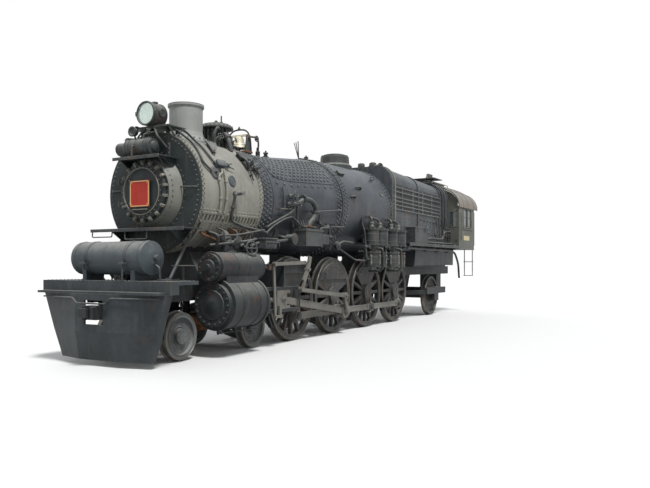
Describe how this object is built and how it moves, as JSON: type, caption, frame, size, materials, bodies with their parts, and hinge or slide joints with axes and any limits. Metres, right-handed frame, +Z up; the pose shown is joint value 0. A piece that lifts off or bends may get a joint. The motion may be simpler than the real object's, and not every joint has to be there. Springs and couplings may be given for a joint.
{
  "type": "steam locomotive",
  "caption": "Large rail steam engine with a bare riveted boiler, square-shouldered firebox, closed cab, coupled spoked drivers with side rods, swivelling trucks, opening doors.",
  "frame": {"origin": "centre of the bounding box in plan, at the lowest point of the wheel flanges", "axes": "-X is the front (pilot) end, +X the cab end, +Y the engine's right side, +Z up; rail top lies 28 mm above the origin plane"},
  "size_m": [16.9499, 3.18, 4.7879],
  "materials": {
    "smokebox_paint": "matte weathered graphite paint",
    "front_paint": "matte dark green-grey paint",
    "boiler_black": "matte bare boiler black, dusty",
    "chassis_black": "matte weathered black",
    "wheel_steel": "rust-stained black wheels with worn treads",
    "rod_steel": "dulled steel",
    "cab_paint": "matte grey-olive paint",
    "roof_paint": "matte weathered brown-grey",
    "bell_bronze": "dull bronze",
    "lens_glass": "clear ribbed glass",
    "plate_red": "semi-gloss red with a pale gold edge",
    "rust": "rusty cast steel",
    "seat_wood": "matte paint"
  },
  "bodies": {
    "engine": {"air_pumps": "boiler_black", "air_tank": "chassis_black", "ash_pan": "chassis_black", "bell_stand": "boiler_black", "boiler_barrel": "boiler_black", "boiler_fittings": "boiler_black", "brake_gear": "chassis_black", "cab_fittings": "seat_wood", "cab_floor": "cab_paint", "cab_front": "cab_paint", "cab_left": "cab_paint", "cab_right": "cab_paint", "cab_roof": "roof_paint", "coupler": "chassis_black", "crossheads": "rod_steel", "cylinder_casting": "chassis_black", "driver_springs": "chassis_black", "driving_boxes": "chassis_black", "feedwater_drum": "smokebox_paint", "firebox": "boiler_black", "front_braces": "boiler_black", "front_deck": "chassis_black", "front_shelves": "front_paint", "generator": "smokebox_paint", "guides_and_yoke": "chassis_black", "headlight": "smokebox_paint", "headlight_lens": "lens_glass", "lubricator_box": "boiler_black", "main_frame": "chassis_black", "main_rods": "rod_steel", "pilot": "chassis_black", "running_board_left": "boiler_black", "running_board_right": "boiler_black", "smokebox": "smokebox_paint", "smokebox_front": "front_paint", "stack": "smokebox_paint", "steam_dome": "boiler_black", "steam_pipes": "boiler_black", "turret_hood": "boiler_black", "valve_gear_left": "rod_steel", "valve_gear_right": "rod_steel"},
    "leading_truck": {"leading_truck": "rust"},
    "leading_wheelset_front": {"leading_wheelset_front": "wheel_steel"},
    "leading_wheelset_rear": {"leading_wheelset_rear": "wheel_steel"},
    "trailing_truck": {"trailing_truck": "rust"},
    "trailing_wheelset": {"trailing_wheelset": "wheel_steel"},
    "driving_wheelset_1": {"driving_wheelset_1": "wheel_steel"},
    "driving_wheelset_2": {"driving_wheelset_2": "wheel_steel"},
    "driving_wheelset_3": {"driving_wheelset_3": "wheel_steel"},
    "driving_wheelset_4": {"driving_wheelset_4": "wheel_steel"},
    "side_rod_left": {"side_rod_left": "rod_steel"},
    "side_rod_right": {"side_rod_right": "rod_steel"},
    "smokebox_door": {"smokebox_door": "front_paint", "front_plate": "plate_red"},
    "bell": {"bell": "bell_bronze"},
    "coupler_knuckle": {"coupler_knuckle": "chassis_black"},
    "cab_door_left": {"cab_door_left": "cab_paint"},
    "cab_door_right": {"cab_door_right": "cab_paint"},
    "drawbar": {"drawbar": "chassis_black"}
  },
  "joints": [
    {"name": "driving_axle_1", "type": "hinge", "parent": "engine", "child": "driving_wheelset_1", "pos_m": [-3.347, 0, 0.9425], "axis": [0, 1, 0], "continuous": true},
    {"name": "driving_axle_2", "type": "hinge", "parent": "engine", "child": "driving_wheelset_2", "pos_m": [-1.434, 0, 0.9425], "axis": [0, 1, 0], "continuous": true},
    {"name": "driving_axle_3", "type": "hinge", "parent": "engine", "child": "driving_wheelset_3", "pos_m": [0.479, 0, 0.9425], "axis": [0, 1, 0], "continuous": true},
    {"name": "driving_axle_4", "type": "hinge", "parent": "engine", "child": "driving_wheelset_4", "pos_m": [2.392, 0, 0.9425], "axis": [0, 1, 0], "continuous": true},
    {"name": "side_rod_left_pin", "type": "hinge", "parent": "driving_wheelset_2", "child": "side_rod_left", "pos_m": [-1.434, -0.93, 0.5615], "axis": [0, 1, 0], "continuous": true},
    {"name": "side_rod_right_pin", "type": "hinge", "parent": "driving_wheelset_2", "child": "side_rod_right", "pos_m": [-1.053, 0.93, 0.9425], "axis": [0, 1, 0], "continuous": true},
    {"name": "leading_truck_swivel", "type": "hinge", "parent": "engine", "child": "leading_truck", "pos_m": [-5.955, 0, 0.728], "axis": [0, 0, 1], "range_deg": [-3, 3]},
    {"name": "leading_axle_front", "type": "hinge", "parent": "leading_truck", "child": "leading_wheelset_front", "pos_m": [-7.047, 0, 0.447], "axis": [0, 1, 0], "continuous": true},
    {"name": "leading_axle_rear", "type": "hinge", "parent": "leading_truck", "child": "leading_wheelset_rear", "pos_m": [-4.863, 0, 0.447], "axis": [0, 1, 0], "continuous": true},
    {"name": "trailing_truck_swivel", "type": "hinge", "parent": "engine", "child": "trailing_truck", "pos_m": [3.142, 0, 0.793], "axis": [0, 0, 1], "range_deg": [-3, 3]},
    {"name": "trailing_axle", "type": "hinge", "parent": "trailing_truck", "child": "trailing_wheelset", "pos_m": [5.542, 0, 0.663], "axis": [0, 1, 0], "continuous": true},
    {"name": "smokebox_door_hinge", "type": "hinge", "parent": "engine", "child": "smokebox_door", "pos_m": [-7.1246, 0.582, 3.008], "axis": [0, 0, -1], "range_deg": [0, 100]},
    {"name": "bell_swing", "type": "hinge", "parent": "engine", "child": "bell", "pos_m": [-4.225, 0, 4.448], "axis": [0, 1, 0], "range_deg": [-40, 40]},
    {"name": "coupler_knuckle_pin", "type": "hinge", "parent": "engine", "child": "coupler_knuckle", "pos_m": [-8.385, 0.085, 0.908], "axis": [0, 0, -1], "range_deg": [0, 45]},
    {"name": "cab_door_left_hinge", "type": "hinge", "parent": "engine", "child": "cab_door_left", "pos_m": [6.363, -1.478, 2.968], "axis": [0, 0, 1], "range_deg": [0, 90]},
    {"name": "cab_door_right_hinge", "type": "hinge", "parent": "engine", "child": "cab_door_right", "pos_m": [6.363, 1.478, 2.968], "axis": [0, 0, -1], "range_deg": [0, 90]},
    {"name": "drawbar_pin", "type": "hinge", "parent": "engine", "child": "drawbar", "pos_m": [7.735, 0, 0.878], "axis": [0, 0, 1], "range_deg": [-10, 10]}
  ],
  "couplings": [
    {"joint": "driving_axle_1", "follows": "driving_axle_2", "ratio": 1},
    {"joint": "driving_axle_3", "follows": "driving_axle_2", "ratio": 1},
    {"joint": "driving_axle_4", "follows": "driving_axle_2", "ratio": 1},
    {"joint": "side_rod_left_pin", "follows": "driving_axle_2", "ratio": -1},
    {"joint": "side_rod_right_pin", "follows": "driving_axle_2", "ratio": -1}
  ]
}
